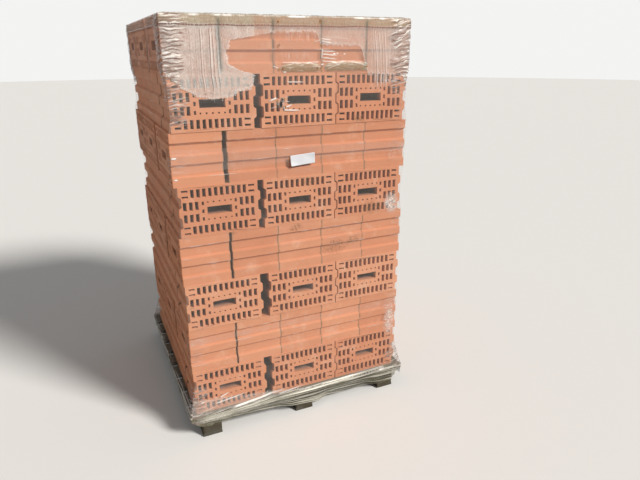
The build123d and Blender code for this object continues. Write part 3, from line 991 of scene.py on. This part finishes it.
class WrapFilm(bpy.types.Operator):
    """Wraps the stack in three overlapping turns of stretch film"""

    bl_idname = "block_pallet.wrap_film"
    bl_label = "Wrap the film"

    def execute(self, context):
        film = context.scene.block_pallet_film
        top_layer = len(LAYERS) - 1
        joints = {side: [place for place, _ in side_joints(side, top_layer)] for side in range(4)}
        fine = Path(film.fine_step, film.wide_step, joints)
        wide = Path(film.calm_step, film.wide_step * 1.15)

        foot, head = UPPER_FOOT + self.sway(fine, 0), STACK_TOP + 0.001
        rough = level_rows(UPPER_KNEE, head, ROUGH_ROWS)[1:] + 0 * foot
        walls = np.vstack([level_rows(foot, UPPER_KNEE, CALM_ROWS), rough])
        lift, notes = wrinkles(fine, walls, film)
        x, y, z = sleeve(fine, walls, lift, 2 * SHEET_GAP)
        inward, rise = top_fold(fine, FOLD_ROWS, film)
        scale = 1 - inward / STACK_HALF
        folds = (x[-1] * scale, y[-1] * scale, head + rise)
        places = [np.vstack([wall, fold[1:]]) for wall, fold in zip((x, y, z), folds)]
        folded = {key: np.repeat(values[-1:] * 0, FOLD_ROWS - 1, 0) for key, values in notes.items()}
        for key, value in (("haze", 0.03), ("milk", 0.75), ("upright", 0.8)):
            folded[key] = folded[key] + value
        folded["crest"] = np.clip(rise[1:] / film.fold_height, 0, 1)
        notes = {key: np.vstack([values, folded[key]]) for key, values in notes.items()}
        up = np.vstack([walls, head + inward[1:]])
        upper = self.turn(fine, "film_upper_turns", places, notes, up, film)

        foot, head = MIDDLE_FOOT + self.sway(wide, 1), MIDDLE_HEAD + self.sway(wide, 2)
        walls = level_rows(foot, head, MIDDLE_ROWS)
        lift, notes = wrinkles(wide, walls, film)
        places = sleeve(wide, walls, lift, SHEET_GAP)
        middle = self.turn(wide, "film_middle_turns", places, notes, walls, film)

        head = LOWER_HEAD + self.sway(fine, 4)
        skirt = level_rows(hem_height(fine), LOWER_KNEE, SKIRT_ROWS)
        walls = np.vstack([skirt, level_rows(LOWER_KNEE, head, LOWER_ROWS)[1:]])
        lift, notes = wrinkles(fine, walls, film)
        places = sleeve(fine, walls, lift - tuck_under(fine, walls), 0.0)
        lower = self.turn(fine, "film_lower_turns", places, notes, walls, film)

        wear(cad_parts["stretch_film"], middle.data.materials[0])
        for piece, width in ((upper, UPPER_WIDTH), (middle, MIDDLE_WIDTH), (lower, LOWER_WIDTH)):
            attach(piece, "root")
            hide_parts("stretch_film")
        return {"FINISHED"}

    def sway(self, path, phase):
        """How far an edge of the film climbs and falls on its way round."""
        return 0.03 * np.sin(2 * math.pi * path.along_path / (4 * STACK_SIDE) + phase)

    def turn(self, path, name, places, notes, up, film):
        """One sheet of film, closed round the stack, in a material of its own."""
        piece = sheet_mesh(name, places, notes, (np.broadcast_to(path.along_path, up.shape), up))
        close_sleeve(piece)
        wear(piece, film_look(name.replace("turns", "film"), film, notes, up.min(), up.max()))
        return piece


class ClayFinish(bpy.types.PropertyGroup):
    pale: tint("Pale", "Palest fired clay", (0.74, 0.345, 0.19))
    deep: tint("Deep", "Deepest fired clay", (0.50, 0.18, 0.085))
    warm: tint("Warm", "Tint of the warmer blocks", (0.66, 0.255, 0.12))
    bloom: tint("Bloom", "Pale dust on the clay", (0.78, 0.54, 0.40))
    fleck: tint("Fleck", "Dark grains in the clay", (0.40, 0.14, 0.07))
    grime: tint("Grime", "Yard dirt on the clay", (0.20, 0.17, 0.10))
    # Painted shade colour for the clay deep in the holes and inner joints
    hollow_shade: tint("Hollow", "Clay deep in the holes", (0.16, 0.115, 0.105))
    block_variation: amount("Block variation", "How much one block differs from the next", 0.55)
    dust: amount("Dust", "Strength of the pale dust", 0.35)
    dirt: amount("Dirt", "Strength of the grime", 0.5)
    chamfer: measure("Chamfer", "How far the mouths of holes and the cut edges are worn back", 0.0011)
    rim_depth: measure("Rim depth", "How deep that wear goes", 0.0024)
    raggedness: measure("Raggedness", "How far a mouth strays from its true shape", 0.0014)
    hole_margin: measure("Hole margin", "Least distance of a hole from the end of its block", 0.016)


TOUCHING = 1e-5            # closer than this, a point counts as on a face
CORE_NUMBER = 20           # the core's own place in the random looks of the layers
KEYS_PER_METRE = 2000      # how finely places are told apart for their random wear
LONG_EDGES = 0.012, 0.13   # lengths of the edges that are cut in three, so that they can stray


class FireClay(bpy.types.Operator):
    """Gives every layer of blocks worn, ragged mouths and edges, and its fired clay"""

    bl_idname = "block_pallet.fire_clay"
    bl_label = "Fire the clay"

    def execute(self, context):
        finish = context.scene.block_pallet_clay
        for number, name in enumerate(LAYERS):
            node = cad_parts[name]
            spans = block_spans(number)
            extruded_along = 1 if number % 2 == 0 else 0
            look = clay_look(f"fired_clay_{number + 1}", finish, extruded_along, spans, number)
            wear(node, look)
            piece = self.copy(context, node, f"fired_blocks_{number + 1}")
            self.roughen(piece, finish, extruded_along, spans[1 - extruded_along], number)
            wear(piece, look)
            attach(piece, "root")
            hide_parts(name)
        one_block = [np.array([-1.0, 1.0])] * 2
        wear(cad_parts["stack_core"], clay_look("fired_clay_core", finish, 1, one_block, CORE_NUMBER))
        return {"FINISHED"}

    def copy(self, context, node, name):
        """A copy of a layer with whole edges in place of its loose triangles, in edit mode."""
        piece = bpy.data.objects.new(name, node.data.copy())
        piece.matrix_world = node.matrix_world
        context.scene.collection.objects.link(piece)
        start_editing(piece)
        bpy.ops.mesh.customdata_custom_splitnormals_clear()
        bpy.ops.mesh.remove_doubles(threshold=0.00002)
        return piece

    def roughen(self, piece, finish, axis, spans, number):
        """Wears back the mouths and cut edges on the two outer faces of a layer."""
        low, high = LAYER_BOXES[number]
        faces = (low[axis], high[axis])
        toward = Vector([1.0 if at == axis else 0.0 for at in range(3)])
        for face, inward in zip(faces, (1, -1)):
            bpy.ops.mesh.select_all(action="SELECT")
            bpy.ops.mesh.bisect(plane_co=toward * (face + inward * finish.rim_depth), plane_no=toward)
        bpy.ops.mesh.select_all(action="DESELECT")
        bpy.ops.mesh.select_mode(type="EDGE")
        bpy.ops.object.mode_set(mode="OBJECT")
        self.pick_long_edges(piece.data, axis, faces)
        bpy.ops.object.mode_set(mode="EDIT")
        bpy.ops.mesh.subdivide(number_cuts=2)
        bpy.ops.object.mode_set(mode="OBJECT")

        mesh = piece.data
        points, outward = read(mesh.vertices, "co", 3), read(mesh.vertex_normals, "vector", 3)
        across = 1 - axis
        depth = np.minimum(points[:, axis] - faces[0], faces[1] - points[:, axis])
        mouth = depth < TOUCHING
        rim = ~mouth & (depth < 1.5 * finish.rim_depth)
        inside = np.zeros(len(points), bool)
        for start, end in zip(spans[0::2], spans[1::2]):
            within = np.minimum(points[:, across] - start, end - points[:, across])
            inside |= within > finish.hole_margin
        inside &= np.minimum(points[:, 2] - low.z, high.z - points[:, 2]) > 0.005
        outward[:, axis] = 0
        outward /= np.maximum(np.linalg.norm(outward, axis=1, keepdims=True), 1e-6)
        keys = np.rint(points * KEYS_PER_METRE)
        stray = np.stack([scatter(*keys.T, seed=50 + at) for at in range(3)], 1) - 0.5
        stray[:, axis] = 0
        free = (np.abs(points[:, 2] - low.z) > TOUCHING) & (np.abs(points[:, 2] - high.z) > TOUCHING)
        ragged = np.where(mouth, 1.0, np.where(rim, 0.5, 0.0)) * np.where(inside, 1.0, 0.35) * free
        worn = finish.chamfer * (0.6 + 0.8 * scatter(keys[:, 0], keys[:, 2], keys[:, 1], seed=60))
        points = points - outward * (worn * mouth)[:, None]
        points = points + stray * (2 * finish.raggedness * ragged)[:, None]
        mesh.vertices.foreach_set("co", points.ravel())
        # Marks the hollows and inner joints that take the painted shade deep in the stack
        layer = mesh.attributes.new("hollow_shade", "FLOAT", "POINT")
        joint = (np.abs(points[:, across]) < STACK_HALF - 0.03) & (points[:, 2] < STACK_TOP - 0.001)
        layer.data.foreach_set("value", ((inside | joint) & ~mouth).astype(np.float32))
        mesh.update()
        bpy.ops.object.shade_flat()

    def pick_long_edges(self, mesh, axis, faces):
        """Selects the long edges round the mouths of the outer faces."""
        points = read(mesh.vertices, "co", 3)
        ends = read(mesh.edges, "vertices", 2, int)
        on_face = np.abs(points[:, axis, None] - faces).min(1) < TOUCHING
        run = np.abs(points[ends[:, 0]] - points[ends[:, 1]])
        size = np.linalg.norm(run, axis=1)
        straight = np.minimum(run[:, 2], run[:, 1 - axis]) < TOUCHING
        picked = on_face[ends].all(1) & straight & (size > LONG_EDGES[0]) & (size < LONG_EDGES[1])
        mesh.edges.foreach_set("select", picked & self.turning_edges(mesh, axis))

    def turning_edges(self, mesh, axis):
        """Which edges lie between a cut face and a wall of the block."""
        walls = np.zeros(len(mesh.edges), bool)
        edge_of = read(mesh.loops, "edge_index", kind=int)
        for polygon in mesh.polygons:
            if abs(polygon.normal[axis]) < 0.5:
                loops = slice(polygon.loop_start, polygon.loop_start + polygon.loop_total)
                walls[edge_of[loops]] = True
        return walls


class WoodFinish(bpy.types.PropertyGroup):
    deck: tint("Deck", "Sawn deck boards", (0.22, 0.18, 0.12))
    # Painted shade: the skid colour is the sawn wood made much darker than the deck, for the shade under
    # the pallet
    skid: tint("Skid", "Skid blocks and boards", (0.074, 0.061, 0.036))
    dark_grain: tint("Dark grain", "Late wood", (0.05, 0.038, 0.023))
    weathered: tint("Weathered", "Grey weathering", (0.115, 0.11, 0.09))
    knot: tint("Knot", "Knots", (0.10, 0.055, 0.03))
    dirt: tint("Dirt", "Yard dirt", (0.09, 0.08, 0.065))
    weathering: amount("Weathering", "Strength of the grey", 0.65)


class WeatherWood(bpy.types.Operator):
    """Gives the pallet its weathered sawn wood"""

    bl_idname = "block_pallet.weather_wood"
    bl_label = "Weather the wood"

    def execute(self, context):
        finish = context.scene.block_pallet_wood
        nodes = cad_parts
        wear(nodes["deck_boards"], wood_look("deck_wood", finish, 0, finish.deck, 1))
        wear(nodes["stringer_boards"], wood_look("stringer_wood", finish, 1, finish.deck, 2))
        # The blocks and runners take the skid colour, darkened as painted shade
        wear(nodes["pallet_blocks"], wood_look("block_wood", finish, 1, finish.skid, 3))
        wear(nodes["bottom_runners"], wood_look("runner_wood", finish, 1, finish.skid, 4))
        return {"FINISHED"}


class PaperLabel(bpy.types.PropertyGroup):
    paper: tint("Paper", "Clean paper", (0.70, 0.71, 0.74))
    darkened: tint("Soiled", "Soiled paper", (0.66, 0.64, 0.62))
    width: measure("Width", "Longer side of the label", 0.126)
    height: measure("Height", "Shorter side of the label", 0.052)
    tilt: swing("Tilt", "How far the label's left end hangs down", 4)
    curl: measure("Curl", "How far its corners lift off the film", 0.0035)


class StickLabel(bpy.types.Operator):
    """Sticks the bare paper label on the front of the film"""

    bl_idname = "block_pallet.stick_label"
    bl_label = "Stick the label"

    def execute(self, context):
        label = context.scene.block_pallet_label
        middle = (LABEL_LOW + LABEL_HIGH) / 2
        columns, rows, round_off = 43, 19, 0.003
        across, up = np.meshgrid(np.linspace(-1, 1, columns), np.linspace(-1, 1, rows))
        x, z = across * label.width / 2, up * label.height / 2
        corner = np.clip(np.abs(x) - label.width / 2 + round_off, 0, None) / round_off
        z = z * (1 - (1 - np.sqrt(1 - 0.99 * corner ** 2)) * round_off / (label.height / 2))
        corners = across * 0.8 + up * 0.7
        lifted = label.curl * (smooth(0.55, 1.5, corners) + smooth(0.7, 1.5, -corners))
        buckle = 0.0006 * np.sin(across * 5.0 + 1.0) * (1 - np.abs(up) * 0.4)
        y = middle.y - 0.0028 - lifted - buckle
        turn = label.tilt
        px = middle.x + x * math.cos(turn) - z * math.sin(turn)
        pz = middle.z + x * math.sin(turn) + z * math.cos(turn)
        piece = sheet_mesh("bare_label", [px, y, pz], {})
        thickness = piece.modifiers.new("thickness", "SOLIDIFY")
        thickness.thickness = 0.0002
        bpy.ops.object.modifier_apply(modifier=thickness.name)
        bpy.ops.object.shade_smooth()
        paper = paper_look(label)
        wear(piece, paper)
        wear(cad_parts["paper_label"], paper)
        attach(piece, "root")
        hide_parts("paper_label")
        return {"FINISHED"}


class StudioStage(bpy.types.PropertyGroup):
    floor: tint("Floor", "Floor colour", (0.80, 0.79, 0.77))
    floor_bounce: tint("Floor bounce", "Floor colour for the light it sends back", (0.42, 0.41, 0.40))
    backdrop: tint("Backdrop", "Backdrop colour", (0.90, 0.90, 0.89))
    key_power: amount("Key light", "Strength of the key light", 3.75)
    key_colour: tint("Key colour", "Colour of the key light", (1.0, 0.97, 0.93))
    key_softness: swing("Key softness", "How wide the key light looks from the pallet", 14)
    key_from: FloatVectorProperty(name="Key from", description="Where the key light comes from",
                                  subtype="DIRECTION", default=(0.50, -0.68, 0.62))
    sky_strength: amount("Sky strength", "Light from all round", 0.28)
    yaw: swing("Camera yaw", "Turn of the camera to the right of +Y", 24.287)
    pitch: swing("Camera pitch", "How far the camera looks down", 19.422)
    roll: swing("Camera roll", "Roll of the camera", 0.2)
    eye: FloatVectorProperty(name="Camera place", description="Where the camera stands",
                             subtype="TRANSLATION", default=(-0.96326, -2.98184, 1.90599))
    lens: amount("Lens", "Focal length in millimetres on a 36 mm sensor", 30.224)


class SetStage(bpy.types.Operator):
    """Sets the floor, the studio light and the camera"""

    bl_idname = "block_pallet.set_stage"
    bl_label = "Set the stage"

    def execute(self, context):
        stage = context.scene.block_pallet_stage
        self.lay_floor(stage)
        self.light_world(context, stage)
        lamp = bpy.data.lights.new("key_light", "SUN")
        lamp.energy = stage.key_power
        lamp.angle = stage.key_softness
        lamp.color = stage.key_colour
        holder = bpy.data.objects.new("key_light", lamp)
        context.scene.collection.objects.link(holder)
        holder.rotation_euler = Vector(stage.key_from).to_track_quat("Z", "Y").to_euler()
        self.aim_camera(context, stage)
        context.scene.view_settings.view_transform = "Standard"
        return {"FINISHED"}

    def lay_floor(self, stage):
        bpy.ops.object.select_all(action="DESELECT")
        bpy.ops.mesh.primitive_circle_add(vertices=96, radius=40, fill_type="NGON", location=(0, 0, 0))
        floor = bpy.context.object
        floor.name = floor.data.name = "studio_floor"
        look = material_look("floor_paint")
        paint = look.blend(stage.floor_bounce, stage.floor, look.seen())
        wear(floor, look.finish(Base_Color=paint, Roughness=0.9, Specular_IOR_Level=0.1))

    def light_world(self, context, stage):
        """Even light from all round, and a pale backdrop where the camera looks past the object."""
        context.scene.world = bpy.data.worlds.new("studio")
        look = Look(context.scene.world)
        white = {"Color": (1.0, 1.0, 1.0, 1.0), "Strength": stage.sky_strength}
        light = look.node("ShaderNodeBackground", values=white)
        pale = look.node("ShaderNodeBackground", values={"Color": rgba(stage.backdrop), "Strength": 1.0})
        mixed = look.node("ShaderNodeMixShader", values={0: look.seen(), 1: light, 2: pale})
        look.end(mixed, "ShaderNodeOutputWorld")

    def aim_camera(self, context, stage):
        data = bpy.data.cameras.new("camera")
        data.sensor_width = 36.0
        data.lens = stage.lens
        camera = bpy.data.objects.new("camera", data)
        context.scene.collection.objects.link(camera)
        turn = Matrix.Rotation(-stage.yaw, 4, "Z") @ Matrix.Rotation(math.pi / 2 - stage.pitch, 4, "X")
        turn = turn @ Matrix.Rotation(-stage.roll, 4, "Z")
        camera.matrix_world = Matrix.Translation(stage.eye) @ turn
        context.scene.camera = camera


class PalletPanel(bpy.types.Panel):
    """Lists the steps in the order in which they are taken"""

    bl_idname = "VIEW3D_PT_block_pallet"
    bl_label = "Block pallet"
    bl_space_type = "VIEW_3D"
    bl_region_type = "UI"
    bl_category = "Block pallet"

    def draw(self, context):
        for step in STEPS:
            self.layout.operator(step.bl_idname)
        for name in GROUPS:
            box = self.layout.box()
            group = getattr(context.scene, name)
            for key in group.bl_rna.properties.keys():
                if key not in ("rna_type", "name"):
                    box.prop(group, key)


GROUPS = {
    "block_pallet_clay": ClayFinish,
    "block_pallet_wood": WoodFinish,
    "block_pallet_film": FilmSheet,
    "block_pallet_label": PaperLabel,
    "block_pallet_stage": StudioStage,
}
STEPS = (SetStage, FireClay, WeatherWood, WrapFilm, StickLabel)


def register():
    for kind in (*GROUPS.values(), *STEPS, PalletPanel):
        bpy.utils.register_class(kind)
    for name, group in GROUPS.items():
        setattr(bpy.types.Scene, name, PointerProperty(type=group))


def unregister():
    for name in GROUPS:
        delattr(bpy.types.Scene, name)
    for kind in (PalletPanel, *STEPS, *GROUPS.values()):
        bpy.utils.unregister_class(kind)


def main():
    register()
    bpy.ops.block_pallet.set_stage()
    bpy.ops.block_pallet.fire_clay()
    bpy.ops.block_pallet.weather_wood()
    bpy.ops.block_pallet.wrap_film()
    bpy.ops.block_pallet.stick_label()


if __name__ == "__main__":
    main()
